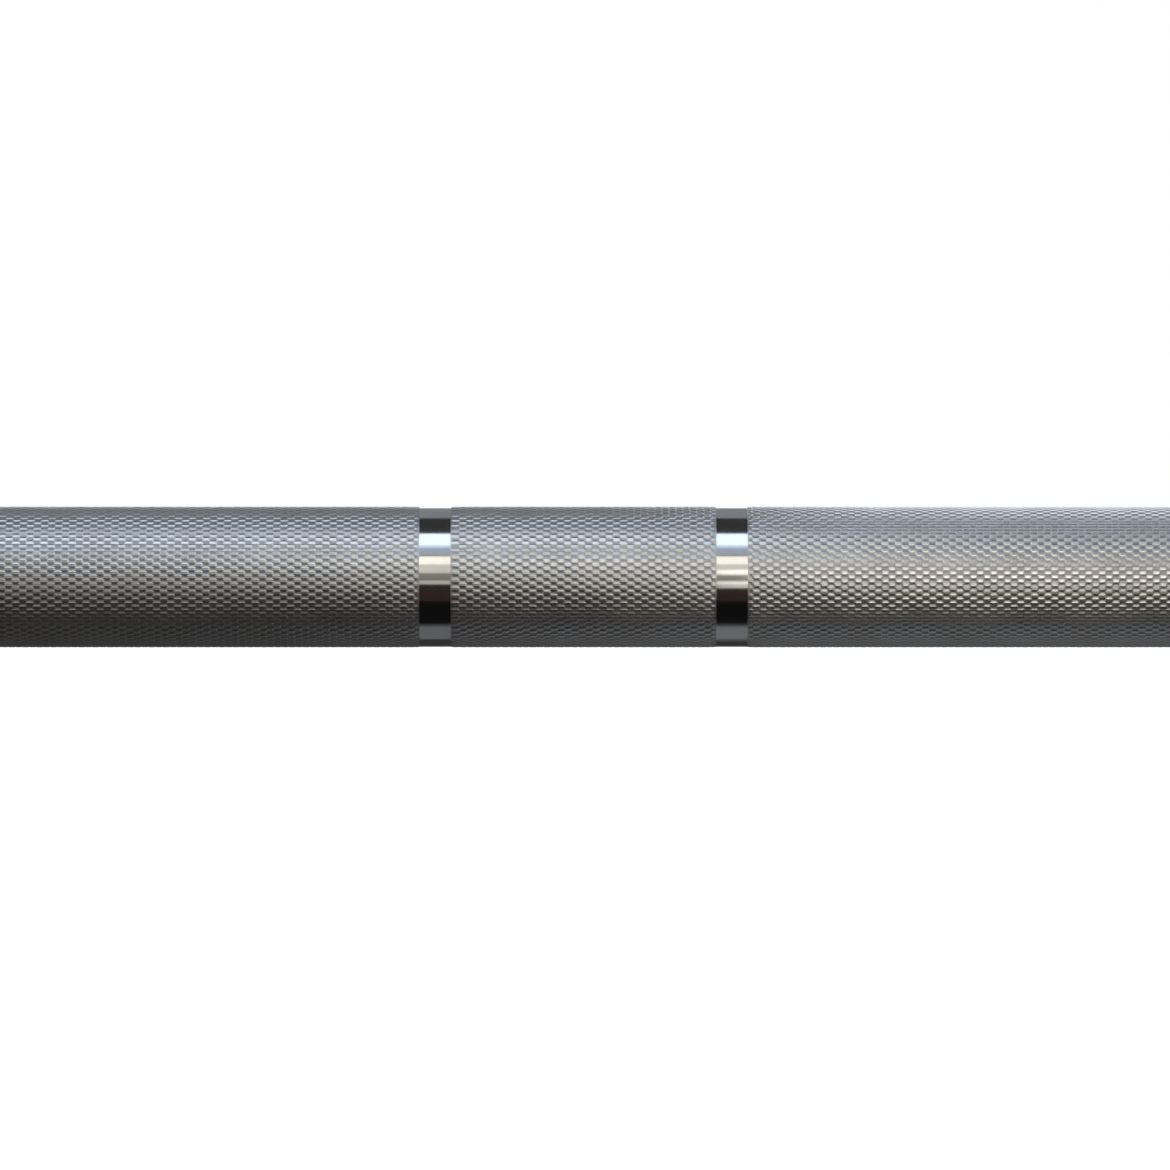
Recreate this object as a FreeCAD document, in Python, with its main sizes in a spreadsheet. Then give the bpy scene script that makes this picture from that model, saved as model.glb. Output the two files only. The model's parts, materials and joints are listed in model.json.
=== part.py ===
import FreeCAD, Part

import math
import os
import re

import Sketcher

# Olympic barbell: a solid steel shaft carries one turning sleeve at each end.
# The bar lies along X with its middle at the origin, and Z is up. Sizes are in millimetres.
# Every sleeve piece is drawn from the sleeve's inner face outwards, and the same pieces,
# turned end for end about Z, make the left sleeve.

# Driving dimensions, each written once. They become the cells of the spreadsheet.
SIZES = {
    # the whole bar
    "shaft_diameter": 28.0,
    "between_collars": 1310.0,
    "loadable_length": 415.0,
    "sleeve_diameter": 50.0,
    "collar_diameter": 75.0,
    "collar_width": 30.0,
    # knurled bands and the smooth marks between them
    "knurl_height": 0.1,
    "knurl_bevel": 0.4,
    "centre_knurl_length": 120.0,
    "smooth_length": 150.0,
    "knurl_collar_gap": 6.0,
    "mark_width": 6.2,
    "outer_mark_gap": 910.0,
    "mark_pitch": 59.0,
    # shaft ends, under the sleeves
    "shoulder_height": 1.5,
    "shaft_end_land": 6.0,
    "shaft_end_chamfer": 1.5,
    "centre_hole_diameter": 6.0,
    "centre_hole_depth": 5.0,
    # sleeve tube
    "middle_bore_clearance": 1.0,
    "collar_step": 2.0,
    "undercut_depth": 0.5,
    "sleeve_end_chamfer": 2.0,
    "bore_edge_chamfer": 0.5,
    # collar
    "collar_recess": 3.0,
    "collar_recess_clearance": 0.1,
    "collar_inboard_round": 5.0,
    "collar_outboard_round": 2.0,
    # dust seal
    "seal_setback": 1.5,
    "seal_width": 4.0,
    "seal_lip_width": 1.2,
    "seal_lip_clearance": 0.08,
    "seal_relief": 1.0,
    "seal_gap": 2.5,
    # bronze bushings and thrust washers
    "bushing_length": 30.0,
    "flange_thickness": 2.0,
    "flange_height": 2.0,
    "flange_rim_clearance": 0.2,
    "running_clearance": 0.04,
    "outer_bushing_setback": 48.0,
    "washer_thickness": 1.5,
    "washer_bore_clearance": 0.15,
    "washer_rim_clearance": 1.0,
    "end_play": 0.1,
    # needle bearings
    "bearing_spacing": 15.0,
    "bearing_width": 20.0,
    "bearing_section": 3.5,
    "cup_wall": 1.0,
    "cup_lip_clearance": 0.6,
    "needle_count": 20,
    "needle_clearance": 0.03,
    "cage_thickness": 1.2,
    "cage_rim": 1.6,
    "cage_float": 0.2,
    "window_clearance": 0.1,
    # retaining ring on the shaft
    "shaft_ring_thickness": 2.0,
    "shaft_groove_depth": 0.9,
    "shaft_ring_height": 3.4,
    "shaft_ring_taper": 0.7,
    "shaft_ring_gap": 5.0,
    "shaft_lug_diameter": 4.8,
    # end cap and the retaining ring that holds it in
    "cap_shelf": 1.5,
    "cap_thickness": 6.0,
    "cap_plate": 3.0,
    "cap_wall": 3.0,
    "cap_clearance": 0.05,
    "cap_edge_chamfer": 0.6,
    "cap_rim": 6.5,
    "cap_dish_depth": 0.8,
    "cap_ring_setback": 3.0,
    "cap_ring_thickness": 1.75,
    "cap_groove_depth": 1.1,
    "cap_ring_height": 3.4,
    "cap_ring_taper": 0.6,
    "cap_ring_gap": 7.0,
    "cap_lug_diameter": 5.2,
    # both retaining rings
    "lug_hole_diameter": 2.0,
    "lug_bite": 1.4,
    "groove_side_clearance": 0.1,
}

# Radii and places worked out from the sizes. Along the bar, a place on the shaft is measured from
# the middle of the bar, and a place in a sleeve from the sleeve's inner face.
PLACES = {
    "shaft_radius": "shaft_diameter / 2",
    "crest_radius": "shaft_radius + knurl_height",
    "journal_radius": "shaft_radius - shoulder_height",
    "sleeve_radius": "sleeve_diameter / 2",
    "bore_radius": "journal_radius + bearing_section",
    "middle_bore_radius": "journal_radius + middle_bore_clearance",
    "counterbore_radius": "bore_radius + flange_height",
    "seat_radius": "sleeve_radius - collar_step",
    "seat_length": "collar_width - collar_recess",
    "undercut_radius": "sleeve_radius - undercut_depth",
    "collar_radius": "collar_diameter / 2",
    "sleeve_face": "between_collars / 2",
    "sleeve_length": "collar_width + loadable_length",
    # knurled bands, from the middle of the bar
    "centre_knurl_end": "centre_knurl_length / 2",
    "grip_start": "centre_knurl_end + smooth_length",
    "outer_mark_start": "outer_mark_gap / 2",
    "outer_mark_end": "outer_mark_start + mark_width",
    "inner_mark_start": "outer_mark_start - mark_pitch",
    "inner_mark_end": "inner_mark_start + mark_width",
    "grip_end": "sleeve_face - knurl_collar_gap",
    # inner end of the sleeve
    "seal_end": "seal_setback + seal_width",
    "shoulder": "seal_end + seal_gap",
    "inner_washer_end": "shoulder + washer_thickness",
    "inner_flange_start": "inner_washer_end + end_play",
    "inner_flange_end": "inner_flange_start + flange_thickness",
    "inner_bushing_end": "inner_flange_start + bushing_length",
    "inner_bearing_start": "inner_bushing_end + bearing_spacing",
    "inner_bearing_end": "inner_bearing_start + bearing_width",
    # outer end of the sleeve
    "outer_flange_end": "sleeve_length - outer_bushing_setback",
    "outer_flange_start": "outer_flange_end - flange_thickness",
    "outer_bushing_start": "outer_flange_end - bushing_length",
    "outer_bearing_start": "outer_bushing_start - bearing_spacing - bearing_width",
    "outer_washer_start": "outer_flange_end + end_play",
    "shaft_ring_start": "outer_washer_start + washer_thickness",
    "shaft_groove_end": "shaft_ring_start + shaft_ring_thickness + groove_side_clearance",
    "shaft_end": "shaft_groove_end + shaft_end_land",
    "cap_groove_end": "sleeve_length - cap_ring_setback",
    "cap_ring_start": "cap_groove_end - cap_ring_thickness",
    "cap_groove_start": "cap_ring_start - groove_side_clearance",
    "cap_face": "cap_groove_start",
    "cap_seat": "cap_face - cap_thickness",
    # radii of the small pieces
    "washer_inside": "journal_radius + washer_bore_clearance",
    "washer_outside": "counterbore_radius - washer_rim_clearance",
    "bushing_inside": "journal_radius + running_clearance",
    "flange_radius": "counterbore_radius - flange_rim_clearance",
    "shaft_groove_radius": "journal_radius - shaft_groove_depth",
    "cap_bore_radius": "counterbore_radius + cap_shelf",
    "cap_groove_radius": "cap_bore_radius + cap_groove_depth",
    "cap_radius": "cap_bore_radius - cap_clearance",
    "cap_inside": "cap_radius - cap_wall",
    "cap_dish_radius": "cap_radius - cap_rim",
    # needle bearing
    "race_radius": "bore_radius - cup_wall",
    "cup_lip_radius": "journal_radius + cup_lip_clearance",
    "needle_diameter": "race_radius - journal_radius - 2 * needle_clearance",
    "pitch_radius": "(race_radius + journal_radius) / 2",
    "cage_inside": "pitch_radius - cage_thickness / 2",
    "cage_outside": "pitch_radius + cage_thickness / 2",
    "cage_start": "cup_wall + cage_float",
    "cage_end": "bearing_width - cage_start",
    "window_start": "cage_start + cage_rim",
    "window_end": "cage_end - cage_rim",
    "window_width": "needle_diameter + 2 * window_clearance",
    "needle_start": "window_start + window_clearance",
    "needle_length": "window_end - window_start - 2 * window_clearance",
}

FULL_TURN = 360
ALONG_X = FreeCAD.Rotation(FreeCAD.Vector(0, 1, 0), 90)
SIDES = {"right": 0, "left": 180}

doc = FreeCAD.newDocument("OlympicBarbell")
sheet = doc.addObject("Spreadsheet::Sheet", "Sizes")
for row, (name, number) in enumerate(SIZES.items(), start=1):
    sheet.set(f"A{row}", name.replace("_", " "))
    sheet.set(f"B{row}", str(number))
    sheet.setAlias(f"B{row}", name)
doc.recompute()

nodes = []


def formula(words):
    """The words as an expression on the sheet, with each place written out in sizes."""

    def written_out(match):
        name = match.group()
        if name in PLACES:
            return f"({formula(PLACES[name])})"
        return f"Sizes.{name}" if name in SIZES else name

    return re.sub(r"[a-z_]+", written_out, words)


def value(words):
    """The number that the words come to now."""
    return sheet.evalExpression(formula(words))


def origin_part(body, role):
    """One of a body's own origin planes or axes."""
    return next(part for part in body.Origin.OriginFeatures if part.Role == role)


def new_body(label):
    body = doc.addObject("PartDesign::Body", label)
    body.Label = label
    return body


def new_sketch(body, name, plane):
    sketch = body.newObject("Sketcher::SketchObject", f"{body.Label}_{name}")
    sketch.AttachmentSupport = (origin_part(body, plane), [""])
    sketch.MapMode = "FlatFace"
    return sketch


def dimension(sketch, kind, words, *ends):
    """A sketch dimension that follows the sheet."""
    index = sketch.addConstraint(Sketcher.Constraint(kind, *ends, value(words)))
    sketch.setExpression(f"Constraints[{index}]", formula(words))


def draw_outline(sketch, corners):
    """A closed outline of straight lines through (along, across) corners.

    A corner level with the one before it is held by a horizontal or vertical line, a corner on an
    axis by that axis, and every other one by its distance from the origin.
    """
    points = [FreeCAD.Vector(value(along), value(across), 0) for along, across in corners]
    count = len(corners)
    for index in range(count):
        line = Part.LineSegment(points[index], points[(index + 1) % count])
        sketch.addGeometry(line, False)
    for index in range(count):
        sketch.addConstraint(Sketcher.Constraint("Coincident", index, 2, (index + 1) % count, 1))
    kinds = (("DistanceX", "Vertical", -2), ("DistanceY", "Horizontal", -1))
    for index, corner in enumerate(corners):
        for place, (distance, level, axis) in zip((0, 1), kinds):
            words = corner[place]
            if index and words == corners[index - 1][place]:
                sketch.addConstraint(Sketcher.Constraint(level, index - 1))
            elif words == "0":
                sketch.addConstraint(Sketcher.Constraint("PointOnObject", index, 1, axis))
            else:
                dimension(sketch, distance, words, -1, 1, index, 1)


def turn(body, corners):
    """Turns an outline of (along, radius) corners a full revolution about the bar's axis."""
    sketch = new_sketch(body, "profile", "XY_Plane")
    draw_outline(sketch, corners)
    revolution = body.newObject("PartDesign::Revolution", f"{body.Label}_turned")
    revolution.Profile = sketch
    revolution.ReferenceAxis = (sketch, ["H_Axis"])
    revolution.Angle = FULL_TURN
    doc.recompute()
    return revolution


def circle_edge(feature, along, radius):
    """The name of the circular edge at that place along the bar and that radius."""
    wanted = (value(along), value(radius))
    for number, edge in enumerate(feature.Shape.Edges, start=1):
        curve = edge.Curve
        if isinstance(curve, Part.Circle):
            if math.isclose(curve.Center.x, wanted[0], abs_tol=1e-4):
                if math.isclose(curve.Radius, wanted[1], abs_tol=1e-4):
                    return f"Edge{number}"
    raise ValueError(f"{feature.Label} has no round edge at {along}, {radius}")


def round_edge(body, feature, name, along, radius, rounding):
    """Rounds one circular edge of a turned piece."""
    fillet = body.newObject("PartDesign::Fillet", f"{body.Label}_{name}")
    fillet.Base = (feature, [circle_edge(feature, along, radius)])
    fillet.setExpression("Radius", formula(rounding))
    doc.recompute()
    return fillet


def repeat_round_bar(body, feature, count):
    """Repeats a feature evenly about the bar's axis."""
    pattern = body.newObject("PartDesign::PolarPattern", f"{body.Label}_repeated")
    pattern.Originals = [feature]
    pattern.Axis = (origin_part(body, "X_Axis"), [""])
    pattern.Angle = FULL_TURN
    pattern.setExpression("Occurrences", formula(count))
    body.Tip = pattern
    doc.recompute()


def seat(piece, side, along="0"):
    """Puts a sleeve piece at its place, measured from the inner face of that side's sleeve."""
    piece.Placement = FreeCAD.Placement(
        FreeCAD.Vector(0, 0, 0), FreeCAD.Rotation(FreeCAD.Vector(0, 0, 1), SIDES[side])
    )
    sign = "" if side == "right" else "-"
    piece.setExpression("Placement.Base.x", formula(f"{sign}(sleeve_face + {along})"))
    nodes.append(piece)


def make_shaft():
    """The solid shaft: knurled bands, smooth marks, and a stepped journal at each end."""
    body = new_body("shaft")
    bevel = "knurl_bevel"

    def band(start, end):
        """The corners of one raised knurled band, bevelled at both ends."""
        return [
            (start, "shaft_radius"),
            (f"{start} + {bevel}", "crest_radius"),
            (f"{end} - {bevel}", "crest_radius"),
            (end, "shaft_radius"),
        ]

    shoulder = "sleeve_face + shoulder"
    groove_start = "sleeve_face + shaft_ring_start"
    groove_end = "sleeve_face + shaft_groove_end"
    end = "sleeve_face + shaft_end"
    half = [
        ("0", "0"),
        ("0", "crest_radius"),
        (f"centre_knurl_end - {bevel}", "crest_radius"),
        ("centre_knurl_end", "shaft_radius"),
        *band("grip_start", "inner_mark_start"),
        *band("inner_mark_end", "outer_mark_start"),
        *band("outer_mark_end", "grip_end"),
        (shoulder, "shaft_radius"),
        (shoulder, "journal_radius"),
        (groove_start, "journal_radius"),
        (groove_start, "shaft_groove_radius"),
        (groove_end, "shaft_groove_radius"),
        (groove_end, "journal_radius"),
        (f"{end} - shaft_end_chamfer", "journal_radius"),
        (end, "journal_radius - shaft_end_chamfer"),
        (end, "centre_hole_diameter / 2"),
        (f"{end} - centre_hole_depth", "0"),
    ]
    turned = turn(body, half)
    mirror = body.newObject("PartDesign::Mirrored", "shaft_mirrored")
    mirror.Originals = [turned]
    mirror.MirrorPlane = (origin_part(body, "YZ_Plane"), [""])
    body.Tip = mirror
    doc.recompute()
    nodes.append(body)


def make_sleeve_tube(side):
    """The tube that carries the plates, stepped down at its inner end for the collar.

    An undercut leads from the collar's seat to the plates' surface. The bore is widened from both
    ends, and its narrower middle stops the bearings.
    """
    body = new_body(f"{side}_sleeve_tube")
    chamfer = "sleeve_end_chamfer"
    bevel = "bore_edge_chamfer"
    turn(body, [
        ("0", f"counterbore_radius + {bevel}"),
        ("0", f"seat_radius - {bevel}"),
        (bevel, "seat_radius"),
        ("seat_length", "seat_radius"),
        ("seat_length", "undercut_radius"),
        ("collar_width", "undercut_radius"),
        ("collar_width", "sleeve_radius"),
        (f"sleeve_length - {chamfer}", "sleeve_radius"),
        ("sleeve_length", f"sleeve_radius - {chamfer}"),
        ("sleeve_length", f"cap_bore_radius + {bevel}"),
        (f"sleeve_length - {bevel}", "cap_bore_radius"),
        ("cap_groove_end", "cap_bore_radius"),
        ("cap_groove_end", "cap_groove_radius"),
        ("cap_groove_start", "cap_groove_radius"),
        ("cap_groove_start", "cap_bore_radius"),
        ("cap_seat", "cap_bore_radius"),
        ("cap_seat", "counterbore_radius"),
        ("outer_flange_start", "counterbore_radius"),
        ("outer_flange_start", "bore_radius"),
        ("outer_bearing_start", "bore_radius"),
        ("outer_bearing_start", "middle_bore_radius"),
        ("inner_bearing_end", "middle_bore_radius"),
        ("inner_bearing_end", "bore_radius"),
        ("inner_flange_end", "bore_radius"),
        ("inner_flange_end", "counterbore_radius"),
        (bevel, "counterbore_radius"),
    ])
    seat(body, side)


def make_collar(side):
    """The shoulder ring that plates are pushed against, pressed on the tube up to its step."""
    body = new_body(f"{side}_collar")
    recess_radius = "sleeve_radius + collar_recess_clearance"
    turned = turn(body, [
        ("0", "seat_radius"),
        ("0", "collar_radius"),
        ("collar_width", "collar_radius"),
        ("collar_width", recess_radius),
        ("seat_length", recess_radius),
        ("seat_length", "seat_radius"),
    ])
    inboard = round_edge(body, turned, "inboard", "0", "collar_radius", "collar_inboard_round")
    round_edge(body, inboard, "outboard", "collar_width", "collar_radius", "collar_outboard_round")
    seat(body, side)


def make_dust_seal(side):
    """The rubber ring in the sleeve's mouth, with one lip on the shaft and a relief behind it."""
    body = new_body(f"{side}_dust_seal")
    lip = "shaft_radius + seal_lip_clearance"
    relief = f"{lip} + seal_relief"
    lip_end = "seal_setback + seal_lip_width"
    turn(body, [
        ("seal_setback", lip),
        ("seal_setback", "counterbore_radius"),
        ("seal_end", "counterbore_radius"),
        ("seal_end", relief),
        (f"{lip_end} + seal_relief", relief),
        (lip_end, lip),
    ])
    seat(body, side)


def make_thrust_washer(side, name, start):
    """A flat washer that takes the sleeve's end thrust."""
    body = new_body(f"{side}_{name}_washer")
    end = f"{start} + washer_thickness"
    turn(body, [
        (start, "washer_inside"),
        (start, "washer_outside"),
        (end, "washer_outside"),
        (end, "washer_inside"),
    ])
    seat(body, side)


def make_inner_bushing(side):
    """The flanged bronze bushing at the inner end, pressed in from the sleeve's inner face."""
    body = new_body(f"{side}_inner_bushing")
    turn(body, [
        ("inner_flange_start", "bushing_inside"),
        ("inner_flange_start", "flange_radius"),
        ("inner_flange_end", "flange_radius"),
        ("inner_flange_end", "bore_radius"),
        ("inner_bushing_end", "bore_radius"),
        ("inner_bushing_end", "bushing_inside"),
    ])
    seat(body, side)


def make_outer_bushing(side):
    """The flanged bronze bushing at the outer end, pressed in from the sleeve's outer face."""
    body = new_body(f"{side}_outer_bushing")
    turn(body, [
        ("outer_bushing_start", "bushing_inside"),
        ("outer_bushing_start", "bore_radius"),
        ("outer_flange_start", "bore_radius"),
        ("outer_flange_start", "flange_radius"),
        ("outer_flange_end", "flange_radius"),
        ("outer_flange_end", "bushing_inside"),
    ])
    seat(body, side)


def make_bearing_cup(side, name, start):
    """A drawn steel cup: the outer race, with a lip turned in at each end."""
    body = new_body(f"{side}_{name}_bearing_cup")
    turn(body, [
        ("0", "cup_lip_radius"),
        ("0", "bore_radius"),
        ("bearing_width", "bore_radius"),
        ("bearing_width", "cup_lip_radius"),
        ("bearing_width - cup_wall", "cup_lip_radius"),
        ("bearing_width - cup_wall", "race_radius"),
        ("cup_wall", "race_radius"),
        ("cup_wall", "cup_lip_radius"),
    ])
    seat(body, side, start)


def make_bearing_cage(side, name, start):
    """The ring that keeps the needles apart, with one window for each."""
    body = new_body(f"{side}_{name}_bearing_cage")
    turned = turn(body, [
        ("cage_start", "cage_inside"),
        ("cage_start", "cage_outside"),
        ("cage_end", "cage_outside"),
        ("cage_end", "cage_inside"),
    ])
    sketch = new_sketch(body, "window", "XY_Plane")
    draw_outline(sketch, [
        ("window_start", "-window_width / 2"),
        ("window_end", "-window_width / 2"),
        ("window_end", "window_width / 2"),
        ("window_start", "window_width / 2"),
    ])
    window = body.newObject("PartDesign::Pocket", f"{body.Label}_window_cut")
    window.Profile = sketch
    window.Type = "ThroughAll"
    window.Reversed = True
    doc.recompute()
    if not window.Shape.Volume < turned.Shape.Volume:
        raise ValueError(f"{body.Label}: the window cuts nothing")
    repeat_round_bar(body, window, "needle_count")
    seat(body, side, start)


def make_needles(side, name, start):
    """The needle rollers of one bearing, a ring of separate pins."""
    body = new_body(f"{side}_{name}_bearing_needles")
    sketch = new_sketch(body, "section", "YZ_Plane")
    sketch.setExpression("AttachmentOffset.Base.z", formula("needle_start"))
    centre = FreeCAD.Vector(0, value("pitch_radius"), 0)
    circle = Part.Circle(centre, FreeCAD.Vector(0, 0, 1), value("needle_diameter / 2"))
    sketch.addGeometry(circle, False)
    sketch.addConstraint(Sketcher.Constraint("PointOnObject", 0, 3, -2))
    dimension(sketch, "DistanceY", "pitch_radius", -1, 1, 0, 3)
    dimension(sketch, "Diameter", "needle_diameter", 0)
    needle = body.newObject("PartDesign::Pad", f"{body.Label}_needle")
    needle.Profile = sketch
    needle.setExpression("Length", formula("needle_length"))
    doc.recompute()
    repeat_round_bar(body, needle, "needle_count")
    seat(body, side, start)


def make_end_cap(side):
    """The plain cap that closes the sleeve, a shallow cup with a dished face."""
    body = new_body(f"{side}_end_cap")
    chamfer = "cap_edge_chamfer"
    turn(body, [
        ("cap_seat", "cap_inside"),
        ("cap_seat", "cap_radius"),
        (f"cap_face - {chamfer}", "cap_radius"),
        ("cap_face", f"cap_radius - {chamfer}"),
        ("cap_face", "cap_dish_radius"),
        ("cap_face - cap_dish_depth", "cap_dish_radius - cap_dish_depth"),
        ("cap_face - cap_dish_depth", "0"),
        ("cap_face - cap_plate", "0"),
        ("cap_face - cap_plate", "cap_inside"),
    ])
    seat(body, side)


def disc(name, along, thickness, radius, across="0", up="0"):
    """A round disc square to the bar, for the retaining rings."""
    cylinder = doc.addObject("Part::Cylinder", name)
    cylinder.Placement = FreeCAD.Placement(FreeCAD.Vector(0, 0, 0), ALONG_X)
    cylinder.setExpression("Radius", formula(radius))
    cylinder.setExpression("Height", formula(thickness))
    cylinder.setExpression("Placement.Base.x", formula(along))
    cylinder.setExpression("Placement.Base.y", formula(across))
    cylinder.setExpression("Placement.Base.z", formula(up))
    return cylinder


def ring_opening(name, along, thickness, gap, reach):
    """The block that opens a retaining ring at its top."""
    block = doc.addObject("Part::Box", name)
    block.setExpression("Length", formula(thickness))
    block.setExpression("Width", formula(gap))
    block.setExpression("Height", formula(reach))
    block.setExpression("Placement.Base.x", formula(along))
    block.setExpression("Placement.Base.y", formula(f"-{gap} / 2"))
    return block


def joined(name, pieces):
    fuse = doc.addObject("Part::MultiFuse", name)
    fuse.Shapes = pieces
    return fuse


def cut(name, base, tool):
    result = doc.addObject("Part::Cut", name)
    result.Base = base
    result.Tool = tool
    return result


def lugs_and_holes(label, along, thickness, gap, lug_diameter, reach):
    """The two round lugs beside a ring's gap, centred at that reach, and the plier holes in them."""
    lugs = []
    holes = []
    aside = f"({gap} + {lug_diameter}) / 2"
    up = f"sqrt(({reach}) ^ 2 - ({aside}) ^ 2)"
    for sign, hand in (("-", "near"), ("", "far")):
        across = f"{sign}{aside}"
        lugs.append(disc(f"{label}_{hand}_lug", along, thickness, f"{lug_diameter} / 2", across, up))
        hole_radius = "lug_hole_diameter / 2"
        holes.append(disc(f"{label}_{hand}_hole", along, thickness, hole_radius, across, up))
    return lugs, holes


def make_shaft_ring(side):
    """The external retaining ring in the shaft's groove, thickest opposite its gap."""
    label = f"{side}_shaft_ring"
    along = "shaft_ring_start"
    thickness = "shaft_ring_thickness"
    gap = "shaft_ring_gap"
    outside = "shaft_groove_radius + shaft_ring_height - shaft_ring_taper"
    thin_side = "shaft_groove_radius + shaft_ring_height - 2 * shaft_ring_taper"
    lug_reach = f"{thin_side} + shaft_lug_diameter / 2 - lug_bite"
    rim = disc(f"{label}_rim", along, thickness, outside, up="-shaft_ring_taper")
    lugs, holes = lugs_and_holes(label, along, thickness, gap, "shaft_lug_diameter", lug_reach)
    inside = disc(f"{label}_inside", along, thickness, "shaft_groove_radius")
    opening = ring_opening(f"{label}_gap", along, thickness, gap, "counterbore_radius")
    solid = joined(f"{label}_solid", [rim, *lugs])
    spaces = joined(f"{label}_spaces", [inside, opening, *holes])
    ring = cut(label, solid, spaces)
    ring.Label = label
    seat(ring, side)


def make_cap_ring(side):
    """The internal retaining ring that holds the end cap, thickest opposite its gap."""
    label = f"{side}_cap_ring"
    along = "cap_ring_start"
    thickness = "cap_ring_thickness"
    gap = "cap_ring_gap"
    inside = "cap_groove_radius - cap_ring_height + cap_ring_taper"
    thin_side = "cap_groove_radius - cap_ring_height + 2 * cap_ring_taper"
    lug_reach = f"{thin_side} - cap_lug_diameter / 2 + lug_bite"
    rim = disc(f"{label}_rim", along, thickness, "cap_groove_radius")
    hollow = disc(f"{label}_inside", along, thickness, inside, up="cap_ring_taper")
    lugs, holes = lugs_and_holes(label, along, thickness, gap, "cap_lug_diameter", lug_reach)
    opening = ring_opening(f"{label}_gap", along, thickness, gap, "cap_groove_radius + cap_ring_height")
    solid = joined(f"{label}_solid", [cut(f"{label}_hoop", rim, hollow), *lugs])
    spaces = joined(f"{label}_spaces", [opening, *holes])
    ring = cut(label, solid, spaces)
    ring.Label = label
    seat(ring, side)


def make_sleeve(side):
    """All the pieces of one sleeve, from the lifter's side outwards."""
    make_collar(side)
    make_sleeve_tube(side)
    make_dust_seal(side)
    make_thrust_washer(side, "inner", "shoulder")
    make_inner_bushing(side)
    for name in ("inner", "outer"):
        start = f"{name}_bearing_start"
        make_bearing_cup(side, name, start)
        make_bearing_cage(side, name, start)
        make_needles(side, name, start)
    make_outer_bushing(side)
    make_thrust_washer(side, "outer", "outer_washer_start")
    make_shaft_ring(side)
    make_end_cap(side)
    make_cap_ring(side)


def check_document():
    """Stops if any feature failed or any node's shape is missing or broken."""
    for item in doc.Objects:
        if {"Invalid", "Error"} & set(item.State):
            raise ValueError(f"{item.Label} failed: {item.State}")
    for node in nodes:
        if node.Shape.isNull() or not node.Shape.isValid() or not node.Shape.Solids:
            raise ValueError(f"{node.Label} has no sound solid")


def write_nodes():
    """Writes each node's solids to its own file."""
    os.makedirs("parts", exist_ok=True)
    for node in nodes:
        node.Shape.exportStep(f"parts/{node.Label}.step")
        print(f"{node.Label}: {len(node.Shape.Solids)} solid(s), {node.Shape.Volume:.1f} mm3")


make_shaft()
for side in SIDES:
    make_sleeve(side)
doc.recompute()
check_document()
write_nodes()
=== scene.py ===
"""An olympic barbell in chrome: its knurled shaft, turning sleeves, collars and end caps.

Lengths are in metres. The bar lies along X with its middle at the origin, and Z is up.
"""

import functools
import json
import logging
import math
from abc import ABC, abstractmethod
from collections.abc import Sequence
from dataclasses import dataclass
from enum import Enum

import bpy
import numpy as np
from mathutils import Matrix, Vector


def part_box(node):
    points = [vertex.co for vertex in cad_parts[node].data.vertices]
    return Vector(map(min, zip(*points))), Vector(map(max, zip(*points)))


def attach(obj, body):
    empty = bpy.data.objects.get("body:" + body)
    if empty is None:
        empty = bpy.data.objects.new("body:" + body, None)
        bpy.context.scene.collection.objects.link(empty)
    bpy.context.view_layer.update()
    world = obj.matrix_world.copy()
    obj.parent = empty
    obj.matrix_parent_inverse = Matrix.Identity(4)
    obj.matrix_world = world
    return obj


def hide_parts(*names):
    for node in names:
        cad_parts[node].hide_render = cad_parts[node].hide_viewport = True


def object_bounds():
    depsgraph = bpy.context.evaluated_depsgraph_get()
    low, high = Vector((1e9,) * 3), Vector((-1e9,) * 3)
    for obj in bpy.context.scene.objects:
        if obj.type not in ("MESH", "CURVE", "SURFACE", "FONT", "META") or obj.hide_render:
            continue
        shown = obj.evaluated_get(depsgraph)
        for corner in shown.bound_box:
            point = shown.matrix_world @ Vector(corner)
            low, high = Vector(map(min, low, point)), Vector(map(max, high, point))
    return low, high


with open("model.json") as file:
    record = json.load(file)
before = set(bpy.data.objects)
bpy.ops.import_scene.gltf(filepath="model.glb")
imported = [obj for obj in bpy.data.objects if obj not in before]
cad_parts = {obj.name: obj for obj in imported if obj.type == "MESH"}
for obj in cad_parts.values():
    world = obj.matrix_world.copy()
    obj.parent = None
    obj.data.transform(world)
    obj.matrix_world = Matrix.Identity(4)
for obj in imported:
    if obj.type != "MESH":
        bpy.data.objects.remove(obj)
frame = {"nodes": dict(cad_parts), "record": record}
cad_low, cad_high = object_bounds()
log = logging.getLogger("barbell")

MM = 0.001
FULL_TURN = 2 * math.pi
ROUND_STEPS = 192  # round a turned piece
ARC_STEPS = 8  # in a rounded corner
SHARP_ANGLE = math.radians(18)  # past this turn, the edge between two faces stays sharp
TEXTURE_MAP = "OFBake"

Range = tuple[float, float]
Corner = tuple[float, float, float]
Tint = tuple[float, float, float]
Colour = tuple[float, float, float, float]
WHITE: Colour = (1, 1, 1, 1)


class Side(Enum):
    """The two ends of the bar, with the sign of X there."""

    RIGHT = 1
    LEFT = -1

    @property
    def word(self) -> str:
        """The side's name as the pieces spell it."""
        return self.name.lower()


# Shader values


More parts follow.
